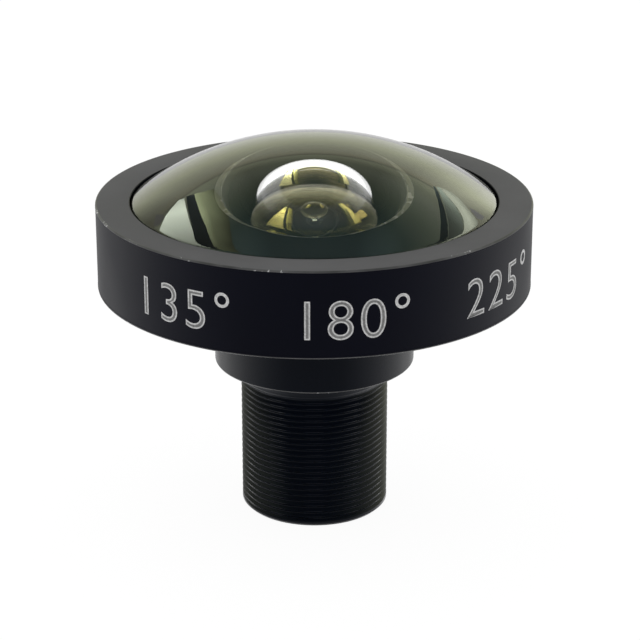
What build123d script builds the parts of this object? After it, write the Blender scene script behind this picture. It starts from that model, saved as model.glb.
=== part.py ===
from build123d import *
from math import asin, copysign, degrees, sqrt
import os

# A fixed-focus fisheye lens for small board cameras, standing on the rear face of its barrel.
# Origin: centre of the rear face. +Z runs along the optical axis, towards the front element.
# A spherical surface has a positive radius where it domes towards the front of the lens.

# Barrel, the outside
thread_diameter = 12.0
barrel_length = 12.6
barrel_end_chamfer = 0.2
collar_diameter = 16.2
collar_chamfer = 0.12
flange_floor = 2.21
cup_wall = 0.8
cup_depth = 2.64

# Barrel, the inside
barrel_wall = 1.15
collar_wall = 1.1
rear_web = 0.6
rear_opening_radius = 3.8
filter_recess_radius = 4.6

# Front ring
ring_diameter = 34.8
ring_height = 6.9
ring_wall = 1.0
ring_face_width = 2.74
lip_thickness = 1.25
ring_top_chamfer = 0.15
ring_bottom_chamfer = 0.12
ring_opening_chamfer = 0.08
ring_thread_clearance = 0.1

# Front element, a deep meniscus whose back is ground flat round a small hollow
dome_radius = 24.66
front_element_rim_gap = 0.41
front_element_edge = 4.56
front_element_step = 3.0
front_element_bevel = 0.15
front_hollow_radius = 6.42
front_hollow_rim_share = 0.8925

# Seals of the front element
gasket_thickness = 0.2
o_ring_width = 1.1
o_ring_height = 0.8
o_ring_corner = 0.22
o_ring_groove_clearance = 0.1
o_ring_inset = 1.2

# Fits
glass_clearance = 0.03
front_glass_clearance = 0.1
ring_clearance = 0.02
cement_thickness = 0.02
glass_bevel = 0.1

# Second element, whose face stands close behind the front element, and the ring on its step
second_element_step = 4.1
second_element_gap = 0.12
second_front_radius = 52.0
second_rear_radius = 4.4
second_rear_rim_share = 0.955
mask_thickness = 0.1
mask_setback = 0.1
second_retainer_width = 1.13
second_retainer_height = 1.2
second_retainer_setback = 0.26
second_ledge_clearance = 0.3

# Elements in the barrel, from the front to the rear
element_seat_width = 0.6
third_element_edge = 1.9
third_front_radius = 10.0
third_rear_radius = -13.0
fourth_element_edge = 1.0
fourth_front_radius = 9.0
fourth_rear_radius = -14.0
crown_edge = 1.0
crown_front_radius = 8.0
cemented_radius = -6.0
cemented_rim_share = 0.65
flint_edge = 1.75
flint_rear_radius = -15.0
rear_element_edge = 1.2
rear_front_radius = 8.0
rear_rear_radius = -20.0
rear_rim_margin = 0.1

# Spacers, stop and retaining rings in the barrel
spacer_rim_margin = 0.1
air_gap = 0.2
stop_thickness = 0.1
stop_radius = 1.4
inner_retainer_height = 1.0
spanner_slot_width = 0.8
spanner_slot_depth = 0.5

# Filter behind the rear element
filter_thickness = 0.3
filter_ring_height = 0.5
filter_ring_width = 0.75
filter_ring_inset = 0.15
filter_slot_depth = 0.25


def rise(surface_radius, rim_radius):
    """Height of a spherical surface's vertex above its rim, negative where it domes to the rear."""
    depth = abs(surface_radius) - sqrt(surface_radius**2 - rim_radius**2)
    return copysign(depth, surface_radius)


def surface_arc(vertex, surface_radius, rim_radius):
    """Half section of a spherical surface, from its vertex on the axis out to its rim."""
    turn = copysign(degrees(asin(rim_radius / abs(surface_radius))), -surface_radius)
    return JernArc((0, vertex), (1, 0), abs(surface_radius), turn)


def element_outline(seat, edge, radius, front, rear, bevel):
    """Half section of a lens element on flat seats; front and rear are (surface radius, rim radius)."""
    front_vertex = seat + edge + rise(*front)
    rear_vertex = seat + rise(*rear)
    front_arc = surface_arc(front_vertex, *front)
    rear_arc = surface_arc(rear_vertex, *rear)
    Polyline(
        front_arc @ 1,
        (radius - bevel, seat + edge),
        (radius, seat + edge - bevel),
        (radius, seat + bevel),
        (radius - bevel, seat),
        rear_arc @ 1,
    )
    Line((0, rear_vertex), (0, front_vertex))


def ring_outline(seat, height, inner, outer):
    """Half section of a plain ring."""
    Polyline((inner, seat), (outer, seat), (outer, seat + height), (inner, seat + height), close=True)


# Radii, from the outside of the barrel inwards
barrel_radius = thread_diameter / 2
bore_radius = barrel_radius - barrel_wall
element_radius = bore_radius - glass_clearance
inner_ring_radius = bore_radius - ring_clearance
element_rim_radius = element_radius - element_seat_width
spacer_inner_radius = element_rim_radius + spacer_rim_margin
cemented_rim_radius = cemented_rim_share * abs(cemented_radius)
rear_rim_radius = rear_opening_radius - rear_rim_margin
filter_radius = filter_recess_radius - glass_clearance
filter_ring_radius = filter_recess_radius - ring_clearance

# Radii in the collar
collar_radius = collar_diameter / 2
collar_bore_radius = collar_radius - collar_wall
second_element_radius = collar_bore_radius - glass_clearance
second_retainer_radius = collar_bore_radius - ring_clearance
second_retainer_inner_radius = second_retainer_radius - second_retainer_width
second_neck_radius = second_retainer_inner_radius - glass_clearance
second_front_rim_radius = second_neck_radius - glass_bevel
second_rear_rim_radius = second_rear_rim_share * second_rear_radius

# Radii at the front
ring_radius = ring_diameter / 2
ring_opening_radius = ring_radius - ring_face_width
skirt_inner_radius = ring_radius - ring_wall
flange_radius = skirt_inner_radius - ring_thread_clearance
cup_radius = flange_radius - cup_wall
front_element_radius = cup_radius - front_glass_clearance
dome_rim_radius = ring_opening_radius - front_element_rim_gap
front_hollow_rim_radius = front_hollow_rim_share * front_hollow_radius
o_ring_radius = front_element_radius - o_ring_inset
groove_width = o_ring_width + 2 * o_ring_groove_clearance

# Seats along the axis, from the rear face to the front
filter_ring_seat = filter_ring_inset
filter_seat = filter_ring_seat + filter_ring_height
filter_recess_depth = filter_seat + filter_thickness
rear_element_seat = filter_recess_depth + rear_web
rear_mask_seat = rear_element_seat + rear_element_edge
rear_spacer_seat = rear_mask_seat + mask_thickness
flint_seat = (
    rear_mask_seat
    + rise(rear_front_radius, element_rim_radius)
    + abs(rise(flint_rear_radius, element_rim_radius))
    + air_gap
)
crown_seat = flint_seat + flint_edge + cement_thickness
middle_spacer_seat = crown_seat + crown_edge
fourth_element_seat = (
    middle_spacer_seat
    + rise(crown_front_radius, element_rim_radius)
    + abs(rise(fourth_rear_radius, element_rim_radius))
    + air_gap
)
stop_rear_spacer_seat = fourth_element_seat + fourth_element_edge
stop_seat = stop_rear_spacer_seat + rise(fourth_front_radius, element_rim_radius) + air_gap
stop_front_spacer_seat = stop_seat + stop_thickness
third_element_seat = stop_front_spacer_seat + abs(rise(third_rear_radius, element_rim_radius)) + air_gap
inner_retainer_seat = third_element_seat + third_element_edge
second_ledge = inner_retainer_seat + inner_retainer_height + second_ledge_clearance
second_element_seat = second_ledge + mask_thickness
second_retainer_seat = second_element_seat + second_element_step
front_seat = second_retainer_seat + second_retainer_height + second_retainer_setback
second_face = front_seat - second_element_gap
front_step = front_seat + front_element_step
lip_seat = front_step + gasket_thickness
ring_top = lip_seat + lip_thickness
ring_bottom = ring_top - ring_height
flange_underside = front_seat - flange_floor
cup_top = front_seat + cup_depth

# Main barrel: threaded tail, collar and the cup that carries the front element
with BuildPart() as main_barrel:
    with BuildSketch(Plane.XZ):
        with BuildLine():
            Polyline(
                (filter_recess_radius, 0),
                (barrel_radius, 0),
                (barrel_radius, barrel_length),
                (collar_radius, barrel_length),
                (collar_radius, flange_underside),
                (flange_radius, flange_underside),
                (flange_radius, cup_top),
                (cup_radius, cup_top),
                (cup_radius, front_seat),
                (collar_bore_radius, front_seat),
                (collar_bore_radius, second_ledge),
                (bore_radius, second_ledge),
                (bore_radius, rear_element_seat),
                (rear_opening_radius, rear_element_seat),
                (rear_opening_radius, filter_recess_depth),
                (filter_recess_radius, filter_recess_depth),
                close=True,
            )
        make_face()
        with Locations((o_ring_radius, front_seat - o_ring_height / 2)):
            Rectangle(groove_width, o_ring_height, mode=Mode.SUBTRACT)
    revolve(axis=Axis.Z)
    outer_edges = main_barrel.edges().filter_by(GeomType.CIRCLE)
    rear_edge = outer_edges.group_by(Axis.Z)[0].sort_by(SortBy.RADIUS)[-1]
    chamfer(rear_edge, length=barrel_end_chamfer)
    shoulder = main_barrel.edges().filter_by(GeomType.CIRCLE).filter_by_position(
        Axis.Z, barrel_length - collar_chamfer, barrel_length + collar_chamfer
    )
    chamfer(shoulder.sort_by(SortBy.RADIUS)[-1], length=collar_chamfer)

# Front ring: screws over the cup and holds the front element down by its lip
with BuildPart() as front_ring:
    with BuildSketch(Plane.XZ):
        with BuildLine():
            Polyline(
                (skirt_inner_radius, ring_bottom),
                (ring_radius, ring_bottom),
                (ring_radius, ring_top),
                (ring_opening_radius, ring_top),
                (ring_opening_radius, lip_seat),
                (skirt_inner_radius, lip_seat),
                close=True,
            )
        make_face()
    revolve(axis=Axis.Z)
    circles = front_ring.edges().filter_by(GeomType.CIRCLE)
    top_circles = circles.group_by(Axis.Z)[-1].sort_by(SortBy.RADIUS)
    bottom_circles = circles.group_by(Axis.Z)[0].sort_by(SortBy.RADIUS)
    chamfer(top_circles[-1], length=ring_top_chamfer)
    chamfer(top_circles[0], length=ring_opening_chamfer)
    chamfer(bottom_circles[-1], length=ring_bottom_chamfer)

# Front element: domed face, stepped edge under the lip, and a hollow in its flat back
with BuildPart() as front_element:
    with BuildSketch(Plane.XZ):
        with BuildLine():
            dome_vertex = front_seat + front_element_edge + rise(dome_radius, dome_rim_radius)
            hollow_vertex = front_seat + rise(front_hollow_radius, front_hollow_rim_radius)
            dome = surface_arc(dome_vertex, dome_radius, dome_rim_radius)
            hollow = surface_arc(hollow_vertex, front_hollow_radius, front_hollow_rim_radius)
            Polyline(
                dome @ 1,
                (dome_rim_radius, front_step),
                (front_element_radius, front_step),
                (front_element_radius, front_seat + front_element_bevel),
                (front_element_radius - front_element_bevel, front_seat),
                hollow @ 1,
            )
            Line((0, hollow_vertex), (0, dome_vertex))
        make_face()
    revolve(axis=Axis.Z)

# Gasket between the front element's step and the lip
with BuildPart() as front_gasket:
    with BuildSketch(Plane.XZ):
        with BuildLine():
            ring_outline(front_step, gasket_thickness, ring_opening_radius, front_element_radius)
        make_face()
    revolve(axis=Axis.Z)

# O-ring pressed flat between its groove and the front element's back
with BuildPart() as front_o_ring:
    with BuildSketch(Plane.XZ) as o_ring_section:
        with Locations((o_ring_radius, front_seat - o_ring_height / 2)):
            Rectangle(o_ring_width, o_ring_height)
        chamfer(o_ring_section.vertices(), length=o_ring_corner)
    revolve(axis=Axis.Z)

# Second element: a strong negative meniscus in the collar, stepped for its retaining ring
with BuildPart() as second_element:
    with BuildSketch(Plane.XZ):
        with BuildLine():
            second_vertex = second_face + rise(second_front_radius, second_front_rim_radius)
            second_hollow_vertex = second_element_seat + rise(second_rear_radius, second_rear_rim_radius)
            second_front = surface_arc(second_vertex, second_front_radius, second_front_rim_radius)
            second_hollow = surface_arc(second_hollow_vertex, second_rear_radius, second_rear_rim_radius)
            Polyline(
                second_front @ 1,
                (second_neck_radius, second_face - glass_bevel),
                (second_neck_radius, second_retainer_seat),
                (second_element_radius - glass_bevel, second_retainer_seat),
                (second_element_radius, second_retainer_seat - glass_bevel),
                (second_element_radius, second_element_seat + glass_bevel),
                (second_element_radius - glass_bevel, second_element_seat),
                second_hollow @ 1,
            )
            Line((0, second_hollow_vertex), (0, second_vertex))
        make_face()
    revolve(axis=Axis.Z)

# Black mask under the second element, which stops stray light at its hollow's rim
with BuildPart() as second_element_mask:
    with BuildSketch(Plane.XZ):
        with BuildLine():
            ring_outline(
                second_ledge, mask_thickness, second_rear_rim_radius + mask_setback, second_element_radius
            )
        make_face()
    revolve(axis=Axis.Z)


def retaining_ring(seat, height, inner, outer, slot_width, slot_depth):
    """Screwed ring with a spanner slot across its free face."""
    with BuildPart() as ring:
        with BuildSketch(Plane.XZ):
            with BuildLine():
                ring_outline(seat, height, inner, outer)
            make_face()
        revolve(axis=Axis.Z)
        with BuildSketch(Plane.XY.offset(seat + height)):
            Rectangle(2 * outer + slot_width, slot_width)
        extrude(amount=-slot_depth, mode=Mode.SUBTRACT)
    return ring


second_element_retainer = retaining_ring(
    second_retainer_seat,
    second_retainer_height,
    second_retainer_inner_radius,
    second_retainer_radius,
    spanner_slot_width,
    spanner_slot_depth,
)
inner_retaining_ring = retaining_ring(
    inner_retainer_seat,
    inner_retainer_height,
    spacer_inner_radius,
    inner_ring_radius,
    spanner_slot_width,
    spanner_slot_depth,
)


def barrel_element(seat, edge, front, rear):
    """Lens element that fills the barrel's bore."""
    with BuildPart() as element:
        with BuildSketch(Plane.XZ):
            with BuildLine():
                element_outline(seat, edge, element_radius, front, rear, glass_bevel)
            make_face()
        revolve(axis=Axis.Z)
    return element


third_element = barrel_element(
    third_element_seat,
    third_element_edge,
    (third_front_radius, element_rim_radius),
    (third_rear_radius, element_rim_radius),
)
fourth_element = barrel_element(
    fourth_element_seat,
    fourth_element_edge,
    (fourth_front_radius, element_rim_radius),
    (fourth_rear_radius, element_rim_radius),
)
doublet_crown = barrel_element(
    crown_seat,
    crown_edge,
    (crown_front_radius, element_rim_radius),
    (cemented_radius, cemented_rim_radius),
)
doublet_flint = barrel_element(
    flint_seat,
    flint_edge,
    (cemented_radius, cemented_rim_radius),
    (flint_rear_radius, element_rim_radius),
)
rear_element = barrel_element(
    rear_element_seat,
    rear_element_edge,
    (rear_front_radius, element_rim_radius),
    (rear_rear_radius, rear_rim_radius),
)


def barrel_ring(seat, height, inner):
    """Plain ring that slides into the barrel's bore."""
    with BuildPart() as ring:
        with BuildSketch(Plane.XZ):
            with BuildLine():
                ring_outline(seat, height, inner, inner_ring_radius)
            make_face()
        revolve(axis=Axis.Z)
    return ring


# Rings between the elements, from the front to the rear
stop_front_spacer = barrel_ring(
    stop_front_spacer_seat, third_element_seat - stop_front_spacer_seat, spacer_inner_radius
)
aperture_stop = barrel_ring(stop_seat, stop_thickness, stop_radius)
stop_rear_spacer = barrel_ring(
    stop_rear_spacer_seat, stop_seat - stop_rear_spacer_seat, spacer_inner_radius
)
middle_spacer = barrel_ring(
    middle_spacer_seat, fourth_element_seat - middle_spacer_seat, spacer_inner_radius
)
rear_spacer = barrel_ring(rear_spacer_seat, flint_seat - rear_spacer_seat, spacer_inner_radius)
rear_mask = barrel_ring(rear_mask_seat, mask_thickness, spacer_inner_radius)

# Filter glass in the rear recess, and the slotted ring that holds it
with BuildPart() as ir_cut_filter:
    with BuildSketch(Plane.XY.offset(filter_seat)):
        Circle(filter_radius)
    extrude(amount=filter_thickness)

with BuildPart() as filter_ring:
    with BuildSketch(Plane.XZ):
        with BuildLine():
            ring_outline(
                filter_ring_seat,
                filter_ring_height,
                filter_ring_radius - filter_ring_width,
                filter_ring_radius,
            )
        make_face()
    revolve(axis=Axis.Z)
    with BuildSketch(Plane.XY.offset(filter_ring_seat)):
        Rectangle(2 * filter_ring_radius + spanner_slot_width, spanner_slot_width)
    extrude(amount=filter_slot_depth, mode=Mode.SUBTRACT)

sub_parts = {
    "front_ring": front_ring,
    "front_gasket": front_gasket,
    "front_element": front_element,
    "front_o_ring": front_o_ring,
    "main_barrel": main_barrel,
    "second_element_retainer": second_element_retainer,
    "second_element": second_element,
    "second_element_mask": second_element_mask,
    "inner_retaining_ring": inner_retaining_ring,
    "third_element": third_element,
    "stop_front_spacer": stop_front_spacer,
    "aperture_stop": aperture_stop,
    "stop_rear_spacer": stop_rear_spacer,
    "fourth_element": fourth_element,
    "middle_spacer": middle_spacer,
    "doublet_crown": doublet_crown,
    "doublet_flint": doublet_flint,
    "rear_spacer": rear_spacer,
    "rear_mask": rear_mask,
    "rear_element": rear_element,
    "ir_cut_filter": ir_cut_filter,
    "filter_ring": filter_ring,
}

os.makedirs("parts", exist_ok=True)
for name, sub_part in sub_parts.items():
    sub_part.part.label = name
    export_step(sub_part.part, "parts/" + name + ".step")

print("front seat", round(front_seat, 3), "ring top", round(ring_top, 3), "ring bottom", round(ring_bottom, 3))
print("dome vertex", round(dome_vertex, 3), "hollow vertex", round(hollow_vertex, 3))
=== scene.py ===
"""Looks of a fisheye board lens: blacked ring and barrel, coated glass, etched numerals, studio."""

import math

import bmesh
import bpy
from bpy.props import (
    FloatProperty, FloatVectorProperty, IntProperty, PointerProperty, StringProperty
)
from mathutils import Matrix, Vector


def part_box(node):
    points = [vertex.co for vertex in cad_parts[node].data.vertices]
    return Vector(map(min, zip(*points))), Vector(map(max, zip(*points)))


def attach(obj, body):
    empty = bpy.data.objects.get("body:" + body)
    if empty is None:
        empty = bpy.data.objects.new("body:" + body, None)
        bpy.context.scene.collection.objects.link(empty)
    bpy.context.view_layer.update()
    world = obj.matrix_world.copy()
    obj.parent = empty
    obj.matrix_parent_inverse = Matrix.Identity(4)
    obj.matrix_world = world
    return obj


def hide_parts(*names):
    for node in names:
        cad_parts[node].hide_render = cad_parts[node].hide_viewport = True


bl_info = {
    "name": "Fisheye Lens Looks",
    "version": (1, 0, 0),
    "blender": (4, 5, 0),
    "location": "View3D > Sidebar > Lens",
    "description": "Builds the finished surfaces of a small fisheye lens round its packed frame",
    "category": "Object",
}

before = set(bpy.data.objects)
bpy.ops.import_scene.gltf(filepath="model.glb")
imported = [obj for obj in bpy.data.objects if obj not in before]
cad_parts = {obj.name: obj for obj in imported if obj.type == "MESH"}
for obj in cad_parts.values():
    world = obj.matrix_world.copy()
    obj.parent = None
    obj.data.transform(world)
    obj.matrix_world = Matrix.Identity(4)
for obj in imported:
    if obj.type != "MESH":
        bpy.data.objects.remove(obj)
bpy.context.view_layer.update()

MM = 0.001
BODY = "root"
TAU = 2 * math.pi


# Sizes that the frame gives

def top_of(node):
    """Height of a node's highest point."""
    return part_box(node)[1].z


def foot_of(node):
    """Height of a node's lowest point."""
    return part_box(node)[0].z


def radius_of(node):
    """Outer radius of a turned node."""
    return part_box(node)[1].x


# Settings that a user would change

def length(name, description, millimetres):
    """A size property in metres, with its default in millimetres."""
    default = millimetres * MM
    return FloatProperty(
        name=name, description=description, default=default, unit="LENGTH", subtype="DISTANCE"
    )


def angle(name, description, degrees):
    """An angle property, with its default in degrees."""
    default = math.radians(degrees)
    return FloatProperty(name=name, description=description, default=default, subtype="ANGLE")


def number(name, description, default):
    """A plain number property."""
    return FloatProperty(name=name, description=description, default=default)


def whole_number(name, description, default, lowest):
    """A whole number property."""
    return IntProperty(name=name, description=description, default=default, min=lowest)


def wording(name, description, default):
    """A text property."""
    return StringProperty(name=name, description=description, default=default)


def colour(name, description, default):
    """A linear colour property."""
    return FloatVectorProperty(
        name=name, description=description, default=default, subtype="COLOR", size=3, min=0, max=1
    )


class LensRingSettings(bpy.types.PropertyGroup):
    """The wide front ring."""

    face_width: length("Face Width", "Width of the flat front face, rim to opening", 2.74)
    wall: length("Wall", "Thickness of the ring's skirt", 1.0)
    lip: length("Lip", "Thickness of the lip over the glass", 1.25)
    top_round: length("Front Edge", "Rounding of the outer front edge", 0.14)
    bottom_round: length("Rear Edge", "Rounding of the outer rear edge", 0.12)
    opening_round: length("Opening Edge", "Rounding of the edge round the glass", 0.07)
    mark_depth: length("Mark Depth", "How far the bare band lies under the numerals", 0.012)


class LensGlassSettings(bpy.types.PropertyGroup):
    """The glass elements."""

    dome_radius: length("Dome Radius", "Surface radius of the front element's face", 24.66)
    dome_rim: length("Dome Rim", "Radius of the front element's rim inside the ring", 14.56)
    step_height: length("Step Height", "Height of the ground step over the flat back", 3.0)
    hollow_radius: length("Hollow Radius", "Surface radius of the front element's hollow", 6.42)
    hollow_rim: length("Hollow Rim", "Radius of the hollow at the flat back", 5.73)
    # The ground land is widest at the sides because its light colour is a painted reflection that
    # shows there
    land_width: length("Land Width", "Width of the ground rim at the hollow's sides", 0.36)
    land_thin: length("Land Thin Part", "Its width before and behind the hollow", 0.03)
    index: number("Index", "Refractive index of the front element", 1.80)
    second_gap: length("Second Element Gap", "From its front rim to the front element", 0.12)
    second_neck: length("Second Element Neck", "Its radius inside the retaining ring", 5.82)
    second_step: length("Second Element Step", "Height of its step over its seat", 4.1)


class LensBarrelSettings(bpy.types.PropertyGroup):
    """The barrel, and the thread cut on its tail."""

    tail_radius: length("Tail Radius", "Radius over the crests of the thread", 6.0)
    tail_length: length("Tail Length", "Height of the shoulder under the collar", 12.6)
    tail_chamfer: length("Tail Chamfer", "Chamfer of the tail's rear edge", 0.25)
    collar_radius: length("Collar Radius", "Outer radius of the collar", 8.1)
    collar_round: length("Collar Edge", "Rounding of the collar's rear edge", 0.12)
    flange_floor: length("Flange Floor", "Thickness of the flange under the glass", 2.21)
    opening_radius: length("Opening Radius", "Radius of the opening over the filter", 3.8)
    web: length("Web", "Thickness of the wall between the filter and the rear element", 0.6)
    groove_width: length("Groove Width", "Width of the seal's groove", 1.3)
    seat_gap: length("Seat Gap", "Gap that keeps the cup's floor clear of the painted glass", 0.01)
    pitch: length("Pitch", "Distance from one ridge to the next", 0.5)
    depth: length("Depth", "Depth of the thread's groove", 0.2)
    start: length("Start", "Height where the thread starts", 0.35)
    end: length("End", "Height where the thread has run out", 11.6)
    run_out: length("Run Out", "Height over which the groove fades at its end", 0.8)
    columns: whole_number("Columns", "Mesh columns round the barrel", 144, 24)
    rows: whole_number("Rows per Ridge", "Mesh rows along one pitch", 12, 6)


class LensNumeralSettings(bpy.types.PropertyGroup):
    """The numerals etched on the band."""

    height: length("Height", "Height of a digit", 3.2)
    first: wording("First", "Numerals on the left", "135°")
    second: wording("Second", "Numerals in the middle", "180°")
    third: wording("Third", "Numerals on the right", "225°")
    centre: angle("Centre", "Direction of the middle numerals", 10.7)
    step: angle("Step", "Angle from one number to the next", 45)


class LensFinishSettings(bpy.types.PropertyGroup):
    """Colours of the surfaces."""

    # The band is black anodising, made darker than the face's copy of it as painted shade, since
    # the band's side gets little light
    ring: colour("Ring", "Black anodised band of the front ring", (0.0025, 0.003, 0.008))
    # The flat face is the band's anodising made lighter: painted light, the top face lit from above
    ring_face_painted_light: colour("Ring Face", "Blasted flat face of the front ring", (0.12, 0.12, 0.122))
    # The rubbed edge colour is a painted highlight on the rounded edges, with real wear in its
    # nicks
    edge: colour("Rubbed Edge", "Thinned anodising along the edges", (0.09, 0.09, 0.092))
    bare_metal: colour("Bare Metal", "Nicks in the anodising", (0.55, 0.55, 0.56))
    # The ground land's light colour is a painted reflection of the backdrop mirrored inside the
    # glass
    land: colour("Ground Land", "Ground rim round the hollow", (0.17, 0.175, 0.155))
    barrel: colour("Barrel", "Black anodised barrel", (0.002, 0.0035, 0.0075))
    paint: colour("Edge Paint", "Black paint on the ground glass", (0.004, 0.005, 0.005))
    mark: colour("Etched Mark", "Laser-etched numerals", (0.74, 0.74, 0.74))


class LensStageSettings(bpy.types.PropertyGroup):
    """Camera and light."""

    distance: length("Camera Distance", "Distance of the camera along -Y", 174.05)
    height: length("Camera Height", "Height of the camera over the floor", 82.58)
    tilt: angle("Tilt", "Angle of the view below the horizon", 21.018)
    turn: angle("Turn", "Angle of the view to the right of +Y", 0.150)
    lens: number("Focal Length", "Focal length of the camera, in millimetres", 129.05)
    ambient: number("Ambient", "Level of the soft light from behind and above", 1.0)
    front_shade: number("Front Shade", "Share of the soft light on the camera's side", 0.5)


# Meshes of revolution

# Segments of a rounded corner, the angle from which an edge is sharp, and the radius under which
# a point lies on the axis
CORNER_STEPS = 4
SHARP_FROM = math.radians(32)
ON_AXIS = 1e-9


def rounded(corners):
    """A closed outline whose (radius, height, rounding) corners are replaced by arcs."""
    points = []
    count = len(corners)
    for i, (r, z, cut) in enumerate(corners):
        if not cut:
            points.append((r, z))
            continue
        here = Vector((r, z))
        before = (Vector(corners[i - 1][:2]) - here).normalized()
        after = (Vector(corners[(i + 1) % count][:2]) - here).normalized()
        half = before.angle(after) / 2
        reach = cut / math.tan(half)
        middle = here + (before + after).normalized() * (cut / math.sin(half))
        start = here + before * reach - middle
        turn = start.angle_signed(here + after * reach - middle)
        for step in range(CORNER_STEPS + 1):
            spoke = start.copy()
            spoke.rotate(Matrix.Rotation(-turn * step / CORNER_STEPS, 2))
            points.append(tuple(middle + spoke))
    return points


def surface_points(vertex, surface_radius, rim_radius, steps):
    """Half section of a spherical surface, axis to rim; positive radii dome to the front."""
    bulge = abs(surface_radius)
    side = math.copysign(1, surface_radius)
    opening = math.asin(rim_radius / bulge)
    angles = [opening * i / steps for i in range(steps + 1)]
    return [(bulge * math.sin(a), vertex - side * bulge * (1 - math.cos(a))) for a in angles]


def rise(surface_radius, rim_radius):
    """Height of a spherical surface's vertex over its rim."""
    depth = abs(surface_radius) - math.sqrt(surface_radius**2 - rim_radius**2)
    return math.copysign(depth, surface_radius)


def turned(name, outline, columns):
    """A closed mesh turned about Z from a closed (radius, height) outline."""
    mesh = bpy.data.meshes.new(name)
    piece = bpy.data.objects.new(name, mesh)
    bpy.context.scene.collection.objects.link(piece)
    shape = bmesh.new()
    rings = []
    for r, z in outline:
        if r < ON_AXIS:
            rings.append([shape.verts.new((0, 0, z))])
            continue
        turn = [TAU * i / columns for i in range(columns)]
        rings.append([shape.verts.new((r * math.cos(a), r * math.sin(a), z)) for a in turn])
    for i, ring in enumerate(rings):
        after = rings[(i + 1) % len(rings)]
        if len(ring) == 1 and len(after) == 1:
            continue
        for j in range(columns):
            k = (j + 1) % columns
            if len(ring) == 1:
                shape.faces.new((ring[0], after[k], after[j]))
            elif len(after) == 1:
                shape.faces.new((ring[j], ring[k], after[0]))
            else:
                shape.faces.new((ring[j], ring[k], after[k], after[j]))
    bmesh.ops.recalc_face_normals(shape, faces=shape.faces)
    shape.to_mesh(mesh)
    shape.free()
    mesh.polygons.foreach_set("use_smooth", [True] * len(mesh.polygons))
    mesh.set_sharp_from_angle(angle=SHARP_FROM)
    return piece


def settle(piece, slot, *nodes):
    """The piece rides on the lens and stands for its CAD nodes, which it hides; its slot is not
    used.
    """
    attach(piece, BODY)
    if nodes:
        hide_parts(*nodes)


# Nodes

def feed(tree, socket, source):
    """Links an output to a socket, or sets the socket to a value."""
    if isinstance(source, bpy.types.NodeSocket):
        tree.links.new(source, socket)
    else:
        socket.default_value = source


def feed_named(tree, node, sources):
    """Feeds the named inputs of a node."""
    for label, source in sources.items():
        feed(tree, node.inputs[label], source)


def add_node(tree, kind, *sources, **settings):
    """A new node with its settings, and its first inputs fed in order; None leaves one alone."""
    node = tree.nodes.new(kind)
    for label, value in settings.items():
        setattr(node, label, value)
    for socket, source in zip(node.inputs, sources):
        if source is not None:
            feed(tree, socket, source)
    return node


def arithmetic(tree, operation, *sources):
    """Result of a Math node."""
    return add_node(tree, "ShaderNodeMath", *sources, operation=operation).outputs[0]


def ramp(tree, source, low, high, first, last):
    """A number carried from one range to another."""
    return add_node(tree, "ShaderNodeMapRange", source, low, high, first, last).outputs[0]


def scaled(tree, shade, factor):
    """A colour times a number."""
    node = add_node(tree, "ShaderNodeVectorMath", shade, None, None, factor, operation="SCALE")
    return node.outputs[0]


def blend(tree, factor, first, second, kind="RGBA"):
    """A colour between two others, or a number where kind is FLOAT."""
    place, result = {"FLOAT": (2, 0), "RGBA": (6, 2)}[kind]
    between = [None] * (place - 1)
    node = add_node(tree, "ShaderNodeMix", factor, *between, first, second, data_type=kind)
    return node.outputs[result]


def stepped(tree, source, stops, full=1):
    """Colour between stops of a place and a level or colour, none of them above full."""
    node = add_node(tree, "ShaderNodeValToRGB", source)
    elements = node.color_ramp.elements
    while len(elements) < len(stops):
        elements.new(0.5)
    for element, (place, level) in zip(elements, stops):
        shade = level if isinstance(level, tuple) else (level,) * 3
        element.position = place
        element.color = (*[c / full for c in shade], 1)
    shown = node.outputs["Color"]
    return shown if full == 1 else scaled(tree, shown, full)


def axes(tree, place):
    """X, Y and Z of a vector."""
    return add_node(tree, "ShaderNodeSeparateXYZ", place).outputs


def object_place(tree):
    """Object coordinates."""
    return add_node(tree, "ShaderNodeTexCoord").outputs["Object"]


def noise(tree, place, scale, detail=2):
    """Factor of a noise texture."""
    return add_node(tree, "ShaderNodeTexNoise", place, None, scale, detail).outputs["Fac"]


def toned(tree, factor, base, dark, light):
    """The base colour between a darker and a lighter share of itself."""
    shades = [(*[min(1, c * share) for c in base], 1) for share in (dark, light)]
    return blend(tree, factor, *shades)


# Materials

def blank_material(name):
    """A material with an empty node tree."""
    material = bpy.data.materials.new(name)
    material.use_nodes = True
    material.node_tree.nodes.clear()
    return material, material.node_tree


def surface_material(name):
    """A material with its output and Principled shader."""
    material, tree = blank_material(name)
    shader = add_node(tree, "ShaderNodeBsdfPrincipled")
    add_node(tree, "ShaderNodeOutputMaterial", shader.outputs["BSDF"])
    return material, tree, shader


def anodised(name, base, marks, rough, ior):
    """Black anodised aluminium with turning marks round Z, fine grain and a cloudy tone."""
    material, tree, shader = surface_material(name)
    place = object_place(tree)
    x, y, z = axes(tree, place)
    flat = add_node(tree, "ShaderNodeCombineXYZ", x, y).outputs[0]
    reach = add_node(tree, "ShaderNodeVectorMath", flat, operation="LENGTH").outputs["Value"]
    marks_at = add_node(tree, "ShaderNodeCombineXYZ", reach, None, z).outputs[0]
    grain = noise(tree, place, 9000)
    cloud = noise(tree, place, 160, 4)
    bump = add_node(tree, "ShaderNodeBump")
    relief = arithmetic(tree, "MULTIPLY_ADD", noise(tree, marks_at, marks, 3), 0.6, grain)
    feed_named(tree, bump, {"Strength": 0.08, "Distance": 0.02 * MM, "Height": relief})
    feed_named(tree, shader, {
        "Base Color": toned(tree, cloud, base, 0.8, 1.25),
        "Roughness": ramp(tree, cloud, 0, 1, rough - 0.06, rough + 0.08),
        "IOR": ior,
        "Normal": bump.outputs["Normal"],
    })
    return material


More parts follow.
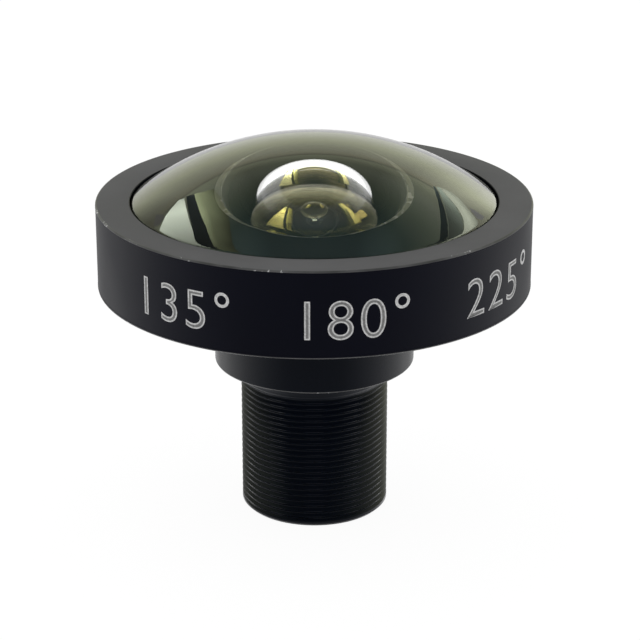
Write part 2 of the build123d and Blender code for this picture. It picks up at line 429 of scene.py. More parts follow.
def rubbed_edge_and_painted_light(name, base, bare):
    """Painted light with wear: a lighter film along an edge or rim that stands for light caught
    there, with small nicks down to bare metal.
    """
    material, tree, shader = surface_material(name)
    place = object_place(tree)
    patch = noise(tree, place, 260, 3)
    nicks = arithmetic(tree, "MULTIPLY", noise(tree, place, 2600), patch)
    film = scaled(tree, base, ramp(tree, patch, 0.35, 0.65, 0.6, 1.4))
    worn = ramp(tree, nicks, 0.35, 0.39, 0, 1)
    feed_named(tree, shader, {
        "Base Color": blend(tree, worn, film, (*bare, 1)),
        "Roughness": 0.4,
        "IOR": 1.3,
    })
    return material


def polished_glass(name, index, tint=(1, 1, 1), reflection=(1, 1, 1)):
    """Coated optical glass: clear, with a coloured reflection."""
    material, tree, shader = surface_material(name)
    feed_named(tree, shader, {
        "Base Color": (*tint, 1),
        "Roughness": 0,
        "IOR": index,
        "Transmission Weight": 1,
        "Specular Tint": (*reflection, 1),
    })
    return material


def matt_black(name, base):
    """Matt black paint, film or rubber with a faint cloud."""
    material, tree, shader = surface_material(name)
    cloud = noise(tree, object_place(tree), 900)
    tone = toned(tree, cloud, base, 0.7, 1.4)
    feed_named(tree, shader, {"Base Color": tone, "Roughness": 0.7, "IOR": 1.2})
    return material


def etched(name, base):
    """Frosted laser marks with fine speckles."""
    material, tree, shader = surface_material(name)
    grain = noise(tree, object_place(tree), 5000, 3)
    feed_named(tree, shader, {"Base Color": toned(tree, grain, base, 0.35, 1.5), "Roughness": 0.8})
    return material


# Pieces

# Distances within which a face or point belongs to a flat end, or to a surface
FLAT = 0.001 * MM
NEAR = 0.01 * MM


def radius_at(place):
    """Distance of a point from the optical axis."""
    return math.hypot(place.x, place.y)


def cover(piece, *materials):
    """Gives a piece its materials, of which the first is on all faces so far."""
    for material in materials:
        piece.data.materials.append(material)


class LensRing(bpy.types.Operator):
    """Turn the wide front ring with its lip and rounded edges"""

    bl_idname = "lens.ring"
    bl_label = "Front Ring"

    def execute(self, context):
        size = context.scene.lens_ring
        finish = context.scene.lens_finish
        outer = radius_of("front_ring")
        top = top_of("front_ring")
        foot = foot_of("front_ring")
        band = outer - size.mark_depth
        opening = outer - size.face_width
        skirt = outer - size.wall
        band_foot = foot + 2 * size.bottom_round
        band_top = top - 2 * size.top_round
        outline = rounded([
            (skirt, foot, size.opening_round),
            (outer, foot, size.bottom_round),
            (outer, band_foot, 0),
            (band, band_foot + size.mark_depth, 0),
            (band, band_top - size.mark_depth, 0),
            (outer, band_top, 0),
            (outer, top, size.top_round),
            (opening, top, size.opening_round),
            (opening, top - size.lip, 0),
            (skirt, top - size.lip, 0),
        ])
        piece = turned("ring_shell", outline, columns=256)
        # The flat face's lighter copy of the anodising is painted light from above; the rounded
        # edges carry a painted highlight with nicks
        cover(
            piece,
            anodised("anodised_ring", finish.ring, 3000, 0.42, 1.15),
            anodised("anodised_ring_face", finish.ring_face_painted_light, 3000, 0.5, 1.08),
            rubbed_edge_and_painted_light("rubbed_ring_edge_and_highlight", finish.edge, finish.bare_metal),
        )
        for face in piece.data.polygons:
            radius = radius_at(face.center)
            height = face.center.z
            on_top_edge = radius > outer - size.top_round and height > top - size.top_round
            on_rear_edge = radius > outer - size.bottom_round and height < foot + size.bottom_round
            if height > top - FLAT:
                face.material_index = 1
            elif on_top_edge or on_rear_edge:
                face.material_index = 2
        settle(piece, "anodised_ring", "front_ring")
        return {"FINISHED"}


# Share of X in a direction from which the ground land, whose light colour is a painted reflection,
# widens towards the sides, where that reflection shows
LAND_WIDENS = 0.6


class LensFrontElement(bpy.types.Operator):
    """Turn the domed front element with its painted step and back, its hollow, and a ground land
    lightened as a painted reflection
    """

    bl_idname = "lens.front_element"
    bl_label = "Front Element"

    def execute(self, context):
        size = context.scene.lens_glass
        finish = context.scene.lens_finish
        flat = foot_of("front_element")
        vertex = top_of("front_element")
        outer = radius_of("front_element")
        step = flat + size.step_height
        rim = size.hollow_rim
        bevel = 0.05 * MM
        dome = surface_points(vertex, size.dome_radius, size.dome_rim, 72)
        rim_height = dome[-1][1]
        dome_foot = rim_height + bevel * 0.6
        dome[-1] = (size.dome_rim - bevel, dome_foot)
        sides = [
            (size.dome_rim, rim_height - bevel),
            (size.dome_rim, step),
            (outer, step),
            (outer, flat + bevel),
            (outer - bevel, flat),
        ]
        land = [(rim + size.land_width, flat)]
        hollow_vertex = flat + rise(size.hollow_radius, rim)
        hollow = surface_points(hollow_vertex, size.hollow_radius, rim, 64)
        piece = turned("front_glass", dome + sides + land + hollow[::-1], columns=256)
        for point in piece.data.vertices:
            radius = radius_at(point.co)
            on_land_edge = abs(radius - rim - size.land_width) < bevel
            if on_land_edge and point.co.z < flat + bevel / 2:
                share = abs(point.co.x) / radius
                sideways = max(0, share - LAND_WIDENS) / (1 - LAND_WIDENS)
                width = size.land_thin + (size.land_width - size.land_thin) * sideways
                point.co.x *= (rim + width) / radius
                point.co.y *= (rim + width) / radius
        # The ground land takes a lighter colour as a painted reflection of the backdrop
        cover(
            piece,
            polished_glass("front_coated_glass", size.index),
            matt_black("glass_edge_paint", finish.paint),
            rubbed_edge_and_painted_light("ground_land_painted_reflection", finish.land, finish.bare_metal),
        )
        for face in piece.data.polygons:
            radius = radius_at(face.center)
            height = face.center.z
            in_hollow = radius < rim + bevel and height > flat + NEAR
            on_land = rim < radius < rim + 2 * size.land_width and height < flat + bevel
            if on_land:
                face.material_index = 2
            elif not in_hollow and height <= dome_foot:
                face.material_index = 1
        settle(piece, "lens_glass", "front_element")
        return {"FINISHED"}


# Front surface radius and rim, rear surface radius and rim in millimetres, and refractive index
INNER_ELEMENTS = {
    "second_element": (52.0, 5.72, 4.4, 4.202, 1.9),
    "third_element": (10.0, 4.22, -13.0, 4.22, 1.75),
    "fourth_element": (9.0, 4.22, -14.0, 4.22, 1.6),
    "doublet_crown": (8.0, 4.22, -6.0, 3.9, 1.6),
    "doublet_flint": (-6.0, 3.9, -15.0, 4.22, 1.8),
    "rear_element": (8.0, 4.22, -20.0, 3.7, 1.6),
}

# Colour of the reflection from the second element, and from those behind it
SECOND_COATING = (1.0, 0.92, 0.5)
INNER_COATING = (0.12, 0.14, 0.14)


class LensInnerElements(bpy.types.Operator):
    """Turn the lens elements behind the front one"""

    bl_idname = "lens.inner_elements"
    bl_label = "Inner Elements"

    def execute(self, context):
        size = context.scene.lens_glass
        paint = matt_black("inner_edge_paint", context.scene.lens_finish.paint)
        bevel = 0.1 * MM
        for node, (*sizes, index) in INNER_ELEMENTS.items():
            front_radius, front_rim, rear_radius, rear_rim = (value * MM for value in sizes)
            front_rise = rise(front_radius, front_rim)
            rear_rise = rise(rear_radius, rear_rim)
            seat = foot_of(node) - min(rear_rise, 0)
            face = top_of(node) - max(front_rise, 0)
            outer = radius_of(node)
            coating = INNER_COATING
            neck = []
            shoulder = face
            if node == "second_element":
                coating = SECOND_COATING
                face = foot_of("front_element") - size.second_gap
                shoulder = seat + size.second_step
                neck = [(size.second_neck, face - bevel), (size.second_neck, shoulder)]
            sides = neck + [
                (outer - bevel, shoulder),
                (outer, shoulder - bevel),
                (outer, seat + bevel),
                (outer - bevel, seat),
            ]
            front = surface_points(face + front_rise, front_radius, front_rim, 40)
            rear = surface_points(seat + rear_rise, rear_radius, rear_rim, 40)
            piece = turned(node + "_glass", front + sides + rear[::-1], columns=160)
            cover(piece, polished_glass(node + "_coated", index, reflection=coating), paint)
            for polygon in piece.data.polygons:
                rim = front_rim if polygon.normal.z > 0 else rear_rim
                if radius_at(polygon.center) >= rim or abs(polygon.normal.z) <= 0.05:
                    polygon.material_index = 1
            settle(piece, "lens_glass", node)
        return {"FINISHED"}


# Room round the glass and the screwed pieces, round the films and the filter, and round the stack
LOOSE_FIT = 0.1 * MM
FILM_FIT = 0.03 * MM
STACK_FIT = 0.02 * MM


class LensBarrel(bpy.types.Operator):
    """Turn the barrel and cut its thread"""

    bl_idname = "lens.barrel"
    bl_label = "Threaded Barrel"

    def execute(self, context):
        size = context.scene.lens_barrel
        finish = context.scene.lens_finish
        crest = size.tail_radius
        shoulder = size.tail_length
        collar = size.collar_radius
        chamfer = size.tail_chamfer
        soft = 0.05 * MM
        broken = 0.1 * MM
        recess = radius_of("ir_cut_filter") + FILM_FIT
        recess_top = top_of("ir_cut_filter")
        web_top = recess_top + size.web
        bore = radius_of("aperture_stop") + STACK_FIT
        ledge = foot_of("second_element_mask")
        collar_bore = radius_of("second_element_mask") + FILM_FIT
        floor = foot_of("front_element") - size.seat_gap
        groove_floor = foot_of("front_o_ring")
        groove_outer = radius_of("front_o_ring") + LOOSE_FIT
        groove_inner = groove_outer - size.groove_width
        flange = radius_of("front_ring") - context.scene.lens_ring.wall - LOOSE_FIT
        underside = foot_of("front_element") - size.flange_floor
        cup_top = top_of("main_barrel")
        cup = radius_of("front_element") + LOOSE_FIT
        row = size.pitch / size.rows
        steps = int((size.end - size.start) / row)
        wall = [(crest, size.start + row * i) for i in range(steps + 1)]
        # The tail's last corner only gives the one before it a direction
        tail = rounded([
            (recess, 0, 0.04 * MM),
            (crest - chamfer, 0, soft),
            (crest, chamfer, soft),
            (crest, 2 * chamfer, 0),
        ])[:-1]
        head = rounded([
            (crest, size.end + row, 0),
            (crest, shoulder, 0.06 * MM),
            (collar, shoulder, size.collar_round),
            (collar, underside, broken),
            (flange, underside, broken),
            (flange, cup_top, soft),
            (cup, cup_top, soft),
            (cup, floor, 0),
            (groove_outer, floor, 0),
            (groove_outer, groove_floor, 0),
            (groove_inner, groove_floor, 0),
            (groove_inner, floor, 0),
            (collar_bore, floor, broken),
            (collar_bore, ledge, 0),
            (bore, ledge, soft),
            (bore, web_top, 0),
            (size.opening_radius, web_top, soft),
            (size.opening_radius, recess_top, soft),
            (recess, recess_top, 0),
            (recess, 0.8 * chamfer, 0),
        ])
        piece = turned("threaded_barrel", tail + wall + head, columns=size.columns)
        thread = anodised("anodised_thread", [1.3 * c for c in finish.barrel], 2600, 0.3, 1.25)
        cover(piece, thread)
        cut_thread(piece, size, thread)
        # The collar's rounded rear edge takes a painted highlight with nicks
        cover(
            piece,
            anodised("anodised_barrel", finish.barrel, 2600, 0.25, 1.17),
            rubbed_edge_and_painted_light("rubbed_collar_edge_and_highlight", finish.edge, finish.bare_metal),
        )
        for face in piece.data.polygons:
            radius = radius_at(face.center)
            height = face.center.z
            if radius > collar - size.collar_round and height < shoulder + size.collar_round:
                face.material_index = 2
            elif radius < crest - 1.5 * size.depth or height > size.end + size.pitch:
                face.material_index = 1
        settle(piece, "anodised_barrel", "main_barrel")
        return {"FINISHED"}


# Share of the half pitch at which the groove starts and has its depth, the run-in's share of the
# run-out, and the angle from which the thread's edges are sharp
GROOVE_EDGE = 0.98
GROOVE_FLOOR = 0.12
RUN_IN = 0.4
THREAD_SHARP_FROM = math.radians(26)


def cut_thread(piece, size, material):
    """Cuts a helical groove into the outer wall with a node tree, and keeps the result as mesh."""
    tree = bpy.data.node_groups.new("thread_cutter", "GeometryNodeTree")
    values = {
        "Pitch": size.pitch,
        "Depth": size.depth,
        "Start": size.start,
        "End": size.end,
        "Run Out": size.run_out,
        "Crest Radius": size.tail_radius,
        "Material": material,
    }
    face = tree.interface
    face.new_socket("Geometry", in_out="INPUT", socket_type="NodeSocketGeometry")
    face.new_socket("Geometry", in_out="OUTPUT", socket_type="NodeSocketGeometry")
    sockets = {}
    for label in values:
        kind = "NodeSocketMaterial" if label == "Material" else "NodeSocketFloat"
        sockets[label] = face.new_socket(label, in_out="INPUT", socket_type=kind)
    given = add_node(tree, "NodeGroupInput").outputs

    def maths(operation, *sources):
        return arithmetic(tree, operation, *sources)

    x, y, z = axes(tree, add_node(tree, "GeometryNodeInputPosition").outputs[0])
    turns = maths("DIVIDE", maths("ARCTAN2", y, x), TAU)
    phase = maths("FRACT", maths("SUBTRACT", maths("DIVIDE", z, given["Pitch"]), turns))
    from_middle = maths("MULTIPLY", maths("ABSOLUTE", maths("SUBTRACT", phase, 0.5)), 2)
    groove = ramp(tree, from_middle, GROOVE_EDGE, GROOVE_FLOOR, 0, 1)
    full_from = maths("MULTIPLY_ADD", given["Run Out"], RUN_IN, given["Start"])
    full_to = maths("SUBTRACT", given["End"], given["Run Out"])
    run_in = ramp(tree, z, given["Start"], full_from, 0, 1)
    run_out = ramp(tree, z, given["End"], full_to, 0, 1)
    reach = maths("SQRT", maths("ADD", maths("MULTIPLY", x, x), maths("MULTIPLY", y, y)))
    above = maths("GREATER_THAN", reach, maths("SUBTRACT", given["Crest Radius"], NEAR))
    below = maths("LESS_THAN", reach, maths("ADD", given["Crest Radius"], NEAR))
    window = maths("MULTIPLY", run_in, run_out)
    cut = maths("MULTIPLY", maths("MULTIPLY", groove, window), given["Depth"])
    cut = maths("MULTIPLY", cut, maths("MULTIPLY", above, below))
    shrink = maths("DIVIDE", maths("MULTIPLY", cut, -1), reach)
    inward = (maths("MULTIPLY", x, shrink), maths("MULTIPLY", y, shrink))
    offset = add_node(tree, "ShaderNodeCombineXYZ", *inward).outputs[0]
    move = add_node(tree, "GeometryNodeSetPosition")
    feed_named(tree, move, {"Geometry": given["Geometry"], "Offset": offset})
    realize = add_node(tree, "GeometryNodeRealizeInstances", move.outputs[0])
    dress = add_node(tree, "GeometryNodeSetMaterial")
    feed_named(tree, dress, {"Geometry": realize.outputs[0], "Material": given["Material"]})
    add_node(tree, "NodeGroupOutput", dress.outputs[0])

    modifier = piece.modifiers.new("thread", "NODES")
    modifier.node_group = tree
    for label, value in values.items():
        modifier[sockets[label].identifier] = value
    seen = bpy.context.evaluated_depsgraph_get()
    cut_mesh = bpy.data.meshes.new_from_object(piece.evaluated_get(seen))
    piece.modifiers.remove(modifier)
    piece.data = cut_mesh
    cut_mesh.name = piece.name
    cut_mesh.set_sharp_from_angle(angle=THREAD_SHARP_FROM)


# Colours of the pieces inside the barrel, and the filter's tint and reflection
BLACKENED = (0.012, 0.012, 0.013)
FILM_BLACK = (0.008, 0.008, 0.008)
RUBBER_BLACK = (0.012, 0.012, 0.012)
FILTER_TINT = (0.75, 0.9, 0.95)
FILTER_COATING = (1.0, 0.35, 0.5)


class LensFittings(bpy.types.Operator):
    """Finish the rings, spacers, masks and seals inside the barrel"""

    bl_idname = "lens.fittings"
    bl_label = "Inner Fittings"

    def execute(self, context):
        fittings = anodised("blackened_fittings", BLACKENED, 3000, 0.5, 1.28)
        film = matt_black("black_film", FILM_BLACK)
        rubber = matt_black("seal_rubber", RUBBER_BLACK)
        filter_glass = polished_glass("filter_glass", 1.52, FILTER_TINT, FILTER_COATING)
        finish_of = {
            "second_element_retainer": fittings,
            "second_element_mask": film,
            "inner_retaining_ring": fittings,
            "stop_front_spacer": fittings,
            "aperture_stop": film,
            "stop_rear_spacer": fittings,
            "middle_spacer": fittings,
            "rear_spacer": fittings,
            "rear_mask": film,
            "filter_ring": fittings,
            "front_gasket": rubber,
            "front_o_ring": rubber,
            "ir_cut_filter": filter_glass,
        }
        for node, material in finish_of.items():
            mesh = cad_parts[node].data
            mesh.materials.clear()
            mesh.materials.append(material)
        return {"FINISHED"}


# Font size over the height of its digits, and width of the slices in which they are bent
FONT_PER_DIGIT = 1.38
SLICE = 0.2 * MM


def numeral_mesh(text, height, offset, thickness):
    """Flat mesh of one number, centred on its own middle, in the XY plane."""
    curve = bpy.data.curves.new("numeral", "FONT")
    curve.body = text
    curve.size = height * FONT_PER_DIGIT
    curve.align_x = "CENTER"
    curve.offset = offset
    curve.extrude = thickness
    curve.resolution_u = 6
    curve.space_character = 1.12
    holder = bpy.data.objects.new("numeral", curve)
    bpy.context.scene.collection.objects.link(holder)
    seen = bpy.context.evaluated_depsgraph_get()
    mesh = bpy.data.meshes.new_from_object(holder.evaluated_get(seen))
    bpy.data.objects.remove(holder)
    bpy.data.curves.remove(curve)
    return mesh


def wrap_numerals(name, settings, offset, thickness, radius, middle):
    """The three numbers as one mesh, bent round the band."""
    shape = bmesh.new()
    for index, text in enumerate((settings.first, settings.second, settings.third)):
        direction = settings.centre + (index - 1) * settings.step
        mesh = numeral_mesh(text, settings.height, offset, thickness)
        one = bmesh.new()
        one.from_mesh(mesh)
        bpy.data.meshes.remove(mesh)
        reach = [v.co.x for v in one.verts]
        low, high = min(reach), max(reach)
        slices = int((high - low) / SLICE)
        for i in range(1, slices):
            place = (low + (high - low) * i / slices, 0, 0)
            geometry = one.verts[:] + one.edges[:] + one.faces[:]
            bmesh.ops.bisect_plane(one, geom=geometry, plane_co=place, plane_no=(1, 0, 0))
        half = settings.height / 2
        for v in one.verts:
            turn = direction + (v.co.x - (low + high) / 2) / radius
            out = radius + v.co.z
            v.co = Vector((out * math.sin(turn), -out * math.cos(turn), middle + v.co.y - half))
        bent = bpy.data.meshes.new("bent")
        one.to_mesh(bent)
        one.free()
        shape.from_mesh(bent)
        bpy.data.meshes.remove(bent)
    bmesh.ops.remove_doubles(shape, verts=shape.verts, dist=1e-8)
    bmesh.ops.recalc_face_normals(shape, faces=shape.faces)
    mesh = bpy.data.meshes.new(name)
    shape.to_mesh(mesh)
    shape.free()
    piece = bpy.data.objects.new(name, mesh)
    bpy.context.scene.collection.objects.link(piece)
    return piece


# How far the numerals sit under the band's middle, and for each of their two pieces its name,
# finish, distance in from the outline, distance under the surface and share of the mark's colour
NUMERAL_DROP = 0.3 * MM
NUMERAL_PIECES = (
    ("etched_numerals", "etched_mark", 0, 0.002 * MM, 1),
    ("etched_numeral_cores", "etched_core", 0.115 * MM, 0.0005 * MM, 0.3),
)


class LensNumerals(bpy.types.Operator):
    """Etch plain numbers on the band"""

    bl_idname = "lens.numerals"
    bl_label = "Etched Numerals"

    def execute(self, context):
        settings = context.scene.lens_numerals
        half = context.scene.lens_ring.mark_depth / 2
        mark = context.scene.lens_finish.mark
        radius = radius_of("front_ring") - half
        middle = (top_of("front_ring") + foot_of("front_ring")) / 2 - NUMERAL_DROP
        for name, finish, inset, sunk, share in NUMERAL_PIECES:
            piece = wrap_numerals(name, settings, -inset, half, radius - sunk, middle)
            cover(piece, etched(finish, [c * share for c in mark]))
            settle(piece, "anodised_ring")
        return {"FINISHED"}


# Stage

# Half width of the floor in metres, and the point round which the cards stand
FLOOR_REACH = 3.0
CARD_CENTRE = Vector((0, 0, 26 * MM))

# Studio cards: distance in metres, tint, and rows of (azimuth, elevation, level). The inner ones
# show only in what the second element mirrors.
STUDIO_CARDS = {
    "softbox_left": (1.2, (0.95, 1.05, 0.85), (
        (
            (-31.6, 30.0, 2.8), (-38.5, 31.5, 4.3), (-44, 33.4, 3.6),
            (-60, 35.3, 1.6), (-80, 35.2, 1.2),
        ), (
            (-31.4, 31.4, 2.8), (-37.4, 37.4, 4.9), (-46.5, 44.4, 3.5),
            (-60.7, 51.8, 1.8), (-80, 57, 1.4),
        ),
    )),
    "frame_left": (1.0, (0.8, 1.0, 1.0), (
        (
            (-30.6, 31.2, 0.1), (-37.5, 37.9, 0.1), (-46.6, 44.8, 0.1),
            (-59.6, 50.6, 0.06), (-80, 57, 0.05),
        ), (
            (-29.8, 33.1, 0.2), (-41.0, 44.7, 0.12), (-50.9, 51.5, 0.1),
            (-64.5, 57.2, 0.06), (-80, 61.5, 0.05),
        ),
    )),
    "glow_left": (1.1, (0.93, 1.05, 0.6), (
        (
            (-29.6, 33.0, 2.0), (-40.8, 44.4, 2.6), (-50.7, 51.3, 1.6),
            (-64.4, 57.1, 0.8), (-80, 61.4, 0.5),
        ), (
            (-29.0, 34.8, 1.4), (-38.6, 45.8, 1.3), (-49.4, 53.2, 0.8),
            (-65, 59.0, 0.5), (-80, 63, 0.35),
        ), (
            (-27.0, 37.5, 0.4), (-34.5, 49.0, 0.3), (-45.0, 57.0, 0.25),
            (-65, 63.5, 0.2), (-80, 67, 0.2),
        ),
    )),
    "notch_left": (1.0, (1.0, 1.0, 0.9), (
        ((-36.5, 26.7, 0.4), (-39.3, 28.2, 0.4), (-43.1, 30.5, 0.4)),
        ((-37.9, 30.0, 0.4), (-39.8, 31.8, 0.4), (-43.1, 32.2, 0.4)),
    )),
    "frame_right": (1.0, (0.75, 1.0, 0.95), (
        (
            (25.9, 28.5, 0.5), (29, 30.8, 0.3), (35, 35.1, 0.15),
            (41.6, 38.8, 0.15), (54.6, 44.3, 0.1), (75, 50, 0.1),
        ), (
            (26, 29, 0.5), (29.1, 32, 0.3), (35.4, 36.9, 0.15),
            (42.1, 41.1, 0.15), (58, 48.1, 0.1), (75, 54, 0.1),
        ),
    )),
    "shade_right": (1.1, (0.85, 1.0, 0.8), (
        (
            (26.2, 28.3, 1.9), (29.3, 30.6, 1.6), (35.2, 34.9, 0.7),
            (41.8, 38.6, 0.4), (54.6, 44.1, 0.25), (75, 49.8, 0.2),
        ), (
            (26.1, 27, 2.0), (29.7, 29, 1.9), (34.2, 30.5, 1.6),
            (40.2, 32.7, 1.0), (48.6, 37.1, 0.5), (75, 44, 0.3),
        ),
    )),
    "softbox_right": (1.2, (0.98, 1.05, 0.82), (
        (
            (26.1, 26.9, 2.0), (29.7, 28.9, 2.3), (34.2, 30.3, 2.3),
            (40.2, 32.4, 2.6), (48.6, 36.9, 2.2), (75, 43.8, 1.0),
        ), (
            (26.8, 25.9, 1.8), (30.2, 27.2, 2.4), (34.5, 28.4, 2.6),
            (39.6, 30.3, 2.9), (48.8, 33.5, 2.4), (75, 38, 1.2),
        ), (
            (27.7, 24.8, 1.6), (30.4, 25, 1.6), (35, 26.4, 1.5),
            (38.9, 27, 1.3), (49, 31, 1.2), (75, 34, 0.8),
        ),
    )),
    "notch_right": (1.0, (1.0, 1.0, 0.95), (
        ((33.2, 24.8, 0.9), (35.2, 25.8, 0.8), (38.0, 26.3, 0.8)),
        ((34.2, 23.2, 0.9), (35.4, 22.0, 0.8), (37.7, 24.0, 0.8)),
    )),
    "inner_right": (1.3, (1.0, 1.0, 0.8), (
        ((53, 20, 1.3), (60, 19, 1.6), (68, 19, 1.3)),
        ((53, 33, 1.3), (60, 34, 1.6), (68, 34, 1.3)),
    )),
    "inner_top": (1.3, (0.75, 1.0, 2.0), (
        ((-6, 59, 2.4), (6, 59, 2.4)),
        ((-5, 63, 1.7), (5, 63, 1.7)),
    )),
}

# Gain of the cards' light that reaches the camera out of the glass
CARD_GAIN_IN_GLASS = (2.6, 2.25, 1.25, 1)

# Sky levels over the sine of the elevation, from the back wall up to the ceiling
SKY_STOPS = (
    (0.00, (1.05, 1.07, 0.95)),
    (0.10, (1.08, 1.10, 0.92)),
    (0.26, (1.00, 1.04, 0.75)),
    (0.42, (0.78, 0.80, 0.60)),
    (0.49, (0.70, 0.70, 0.50)),
    (0.503, (0.46, 0.48, 0.36)),
    (0.516, (0.77, 0.82, 0.58)),
    (0.53, (0.78, 0.84, 0.58)),
    (0.64, (0.68, 0.76, 0.57)),
    (0.77, (0.38, 0.47, 0.34)),
    (0.87, (0.19, 0.28, 0.23)),
    (0.97, (0.26, 0.41, 0.40)),
    (1.00, (0.28, 0.44, 0.43)),
)

# The same for rays that come back out of the glass
INNER_SKY_STOPS = (
    (0.00, (1.50, 1.50, 1.50)),
    (0.58, (1.50, 1.50, 1.45)),
    (0.61, (1.30, 1.30, 0.90)),
    (0.63, (0.14, 0.13, 0.07)),
    (0.66, (0.14, 0.13, 0.07)),
    (0.70, (0.75, 0.68, 0.33)),
    (0.85, (0.62, 0.57, 0.30)),
    (1.00, (0.10, 0.12, 0.10)),
)

# The same for rays that the second element mirrors
DEEP_SKY_STOPS = (
    (0.00, (1.45, 1.48, 1.30)),
    (0.17, (0.95, 0.96, 0.80)),
    (0.34, (0.52, 0.53, 0.42)),
    (0.50, (0.20, 0.20, 0.15)),
    (0.62, (0.08, 0.08, 0.06)),
    (0.90, (0.03, 0.04, 0.03)),
    (1.00, (0.03, 0.04, 0.04)),
)

# Sky seen straight through the hollow, where nothing mirrors it
STRAIGHT_SKY = (0.12, 0.115, 0.06, 1)

# Wall level from left to right, over half of one plus the direction's X
SIDE_STOPS = (
    (0.22, 0.5), (0.29, 1.0), (0.55, 1.0), (0.64, 1.2),
    (0.71, 1.8), (0.735, 1.65), (0.76, 1.2), (0.85, 1.0),
)

# Floor level in reflections, from the camera's side to the far side of the lens
FLOOR_STOPS = (
    (0.00, 0.70), (0.06, 0.75), (0.20, 1.60), (0.33, 2.20),
    (0.50, 2.50), (0.72, 1.80), (0.82, 1.00), (0.92, 0.90),
)

# The floor's own glow to the camera, its paint, and the glow's share, the rest being lit paint
FLOOR_WHITE = (1.045, 1.045, 1.045, 1)
FLOOR_PAINT = (0.95, 0.95, 0.95, 1)
FLOOR_GLOW = 0.9


def away(azimuth, elevation):
    """Direction at an azimuth to the right of +Y and an elevation, both in degrees."""
    turn, lift = math.radians(azimuth), math.radians(elevation)
    level = math.cos(lift)
    return Vector((math.sin(turn) * level, math.cos(turn) * level, math.sin(lift)))


# Number of glass surfaces between three and four, which tells how deep a ray has been
DEEP = 3.5


def mirrored_inside(tree, path):
    """1 for rays that passed four glass surfaces, 0 for the others."""
    return arithmetic(tree, "GREATER_THAN", path["Transmission Depth"], DEEP)


def shown_ray(tree, path):
    """1 for camera, glossy and transmission rays, 0 for the rays that light a surface."""
    direct = arithmetic(tree, "MAXIMUM", path["Is Camera Ray"], path["Is Glossy Ray"])
    return arithmetic(tree, "MAXIMUM", direct, path["Is Transmission Ray"])


def card_material(name, inner):
    """Glow of the studio cards, whose levels lie on the mesh; inner cards show deep in glass."""
    material, tree = blank_material(name)
    path = add_node(tree, "ShaderNodeLightPath").outputs
    level = add_node(tree, "ShaderNodeAttribute", attribute_name="glow").outputs["Color"]
    gain = blend(tree, path["Is Transmission Ray"], (1, 1, 1, 1), CARD_GAIN_IN_GLASS)
    tint = add_node(tree, "ShaderNodeVectorMath", level, gain, operation="MULTIPLY").outputs[0]
    surface = add_node(tree, "ShaderNodeEmission", tint).outputs[0]
    if inner:
        clear = add_node(tree, "ShaderNodeBsdfTransparent").outputs[0]
        deep = mirrored_inside(tree, path)
        surface = add_node(tree, "ShaderNodeMixShader", deep, clear, surface).outputs[0]
    add_node(tree, "ShaderNodeOutputMaterial", surface)
    return material


def studio_card(name, distance, tint, rows, material):
    """A flat card with its points in the given directions, for reflections and glass only."""
    spots = [spot for row in rows for spot in row]
    spokes = [away(azimuth, elevation) for azimuth, elevation, level in spots]
    facing = sum(spokes, Vector()).normalized()
    points = [CARD_CENTRE + spoke * (distance / spoke.dot(facing)) for spoke in spokes]
    columns = len(rows[0])
    faces = []
    for i in range(len(rows) - 1):
        for j in range(columns - 1):
            first = i * columns + j
            faces.append((first, first + 1, first + 1 + columns, first + columns))
    mesh = bpy.data.meshes.new(name)
    mesh.from_pydata(points, [], faces)
    glow = mesh.color_attributes.new("glow", "FLOAT_COLOR", "POINT")
    for point, (azimuth, elevation, level) in zip(glow.data, spots):
        point.color = (*[level * c for c in tint], 1)
    mesh.materials.append(material)
    card = bpy.data.objects.new(name, mesh)
    bpy.context.scene.collection.objects.link(card)
    card.visible_camera = False
    card.visible_diffuse = False
    card.visible_shadow = False


def floor_material():
    """White floor that keeps a faint shadow, with levels of its own in reflections and glass."""
    material, tree = blank_material("floor")
    path = add_node(tree, "ShaderNodeLightPath").outputs
    unit = add_node(tree, "ShaderNodeVectorMath", object_place(tree), operation="NORMALIZE")
    along = ramp(tree, axes(tree, unit.outputs[0])["Y"], -1, 1, 0, 1)
    mirrored = stepped(tree, along, FLOOR_STOPS, full=4)
    in_glass = ramp(tree, along, 0.45, 0.6, 0.1, 1.3)
    level = blend(tree, path["Is Glossy Ray"], FLOOR_WHITE, mirrored)
    level = blend(tree, path["Is Transmission Ray"], level, in_glass)
    glow = add_node(tree, "ShaderNodeEmission", level).outputs[0]
    paint = add_node(tree, "ShaderNodeBsdfDiffuse", FLOOR_PAINT).outputs[0]
    share = arithmetic(tree, "MULTIPLY", shown_ray(tree, path), FLOOR_GLOW)
    surface = add_node(tree, "ShaderNodeMixShader", share, paint, glow).outputs[0]
    add_node(tree, "ShaderNodeOutputMaterial", surface)
    return material


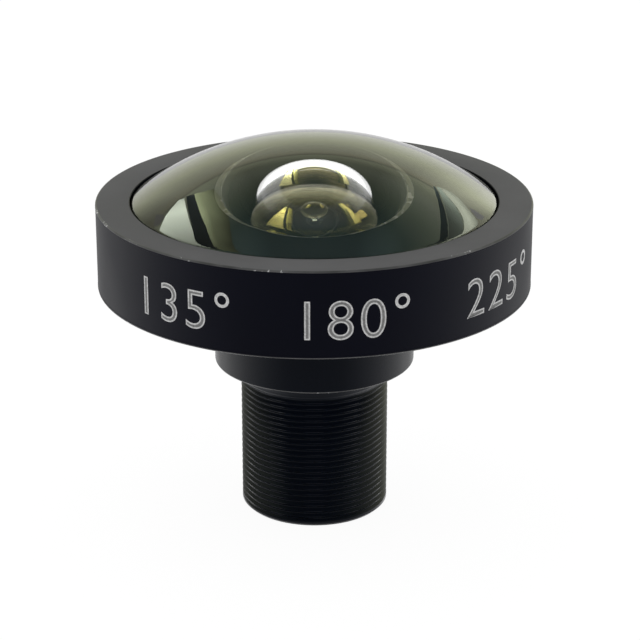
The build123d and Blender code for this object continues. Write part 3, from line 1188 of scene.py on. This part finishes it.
def studio_world(settings):
    """Bright back wall and dim greenish ceiling in reflections, and soft plain light."""
    world = bpy.data.worlds.new("studio")
    world.use_nodes = True
    tree = world.node_tree
    tree.nodes.clear()
    path = add_node(tree, "ShaderNodeLightPath").outputs
    x, y, z = axes(tree, add_node(tree, "ShaderNodeTexCoord").outputs["Generated"])
    aside = arithmetic(tree, "ABSOLUTE", x)

    # What the outer surfaces mirror
    wall = ramp(tree, z, 0.58, 0.46, 0, 1)
    wall_level = stepped(tree, ramp(tree, x, -1, 1, 0, 1), SIDE_STOPS)
    ceiling_level = ramp(tree, aside, 0.22, 0.38, 0.5, 1)
    sideways = blend(tree, wall, ceiling_level, wall_level, "FLOAT")
    front = ramp(tree, y, -0.5, 0, 0.15, 1)
    mirrored_level = arithmetic(tree, "MULTIPLY", sideways, front)
    mirrored = scaled(tree, stepped(tree, z, SKY_STOPS, full=2), mirrored_level)

    # What shows in the glass
    inner = scaled(tree, stepped(tree, z, INNER_SKY_STOPS, full=2), front)
    inward = ramp(tree, aside, 0.45, 0.85, 2, 0.7)
    deep = scaled(tree, stepped(tree, z, DEEP_SKY_STOPS, full=2), inward)
    echoed = arithmetic(tree, "GREATER_THAN", path["Glossy Depth"], 0.5)
    deep = blend(tree, echoed, STRAIGHT_SKY, deep)
    in_glass = blend(tree, mirrored_inside(tree, path), inner, deep)

    seen = blend(tree, path["Is Transmission Ray"], mirrored, in_glass)
    plain = blend(tree, path["Is Camera Ray"], seen, (1, 1, 1, 1))
    shaded = settings.ambient * settings.front_shade
    soft = ramp(tree, y, -0.8, 0.2, shaded, settings.ambient)
    light = blend(tree, shown_ray(tree, path), soft, plain)
    glow = add_node(tree, "ShaderNodeBackground", light)
    add_node(tree, "ShaderNodeOutputWorld", glow.outputs[0])
    return world


class LensStage(bpy.types.Operator):
    """Set up the floor, the pale backdrop, the light and the camera"""

    bl_idname = "lens.stage"
    bl_label = "Stage"

    def execute(self, context):
        scene = context.scene
        settings = scene.lens_stage
        camera_data = bpy.data.cameras.new("camera")
        camera_data.sensor_width = 36
        camera_data.lens = settings.lens
        camera_data.clip_start = 0.01
        camera_data.clip_end = 100
        camera = bpy.data.objects.new("camera", camera_data)
        scene.collection.objects.link(camera)
        camera.location = (0, -settings.distance, settings.height)
        camera.rotation_euler = (math.pi / 2 - settings.tilt, 0, -settings.turn)
        scene.camera = camera
        scene.view_settings.view_transform = "Standard"

        floor_mesh = bpy.data.meshes.new("floor")
        signs = ((-1, -1), (1, -1), (1, 1), (-1, 1))
        corners = [(x * FLOOR_REACH, y * FLOOR_REACH, 0) for x, y in signs]
        floor_mesh.from_pydata(corners, [], [(0, 1, 2, 3)])
        floor_mesh.materials.append(floor_material())
        floor = bpy.data.objects.new("floor", floor_mesh)
        scene.collection.objects.link(floor)

        scene.world = studio_world(settings)
        outer_light = card_material("studio_card", False)
        inner_light = card_material("inner_card", True)
        for name, card in STUDIO_CARDS.items():
            studio_card(name, *card, inner_light if name.startswith("inner") else outer_light)
        return {"FINISHED"}


class LensPanel(bpy.types.Panel):
    """Lists the steps that dress the lens"""

    bl_idname = "VIEW3D_PT_lens"
    bl_label = "Fisheye Lens"
    bl_space_type = "VIEW_3D"
    bl_region_type = "UI"
    bl_category = "Lens"

    def draw(self, context):
        for step in STEPS:
            self.layout.operator(step.bl_idname)


SETTINGS = {
    "lens_ring": LensRingSettings,
    "lens_glass": LensGlassSettings,
    "lens_barrel": LensBarrelSettings,
    "lens_numerals": LensNumeralSettings,
    "lens_finish": LensFinishSettings,
    "lens_stage": LensStageSettings,
}
STEPS = (
    LensRing,
    LensFrontElement,
    LensInnerElements,
    LensBarrel,
    LensFittings,
    LensNumerals,
    LensStage,
)


def register():
    for name, group in SETTINGS.items():
        bpy.utils.register_class(group)
        setattr(bpy.types.Scene, name, PointerProperty(type=group))
    for step in (*STEPS, LensPanel):
        bpy.utils.register_class(step)


def unregister():
    for step in reversed((*STEPS, LensPanel)):
        bpy.utils.unregister_class(step)
    for name, group in reversed(SETTINGS.items()):
        delattr(bpy.types.Scene, name)
        bpy.utils.unregister_class(group)


def main():
    register()
    for step in STEPS:
        area, action = step.bl_idname.split(".")
        getattr(getattr(bpy.ops, area), action)()


if __name__ == "__main__":
    main()
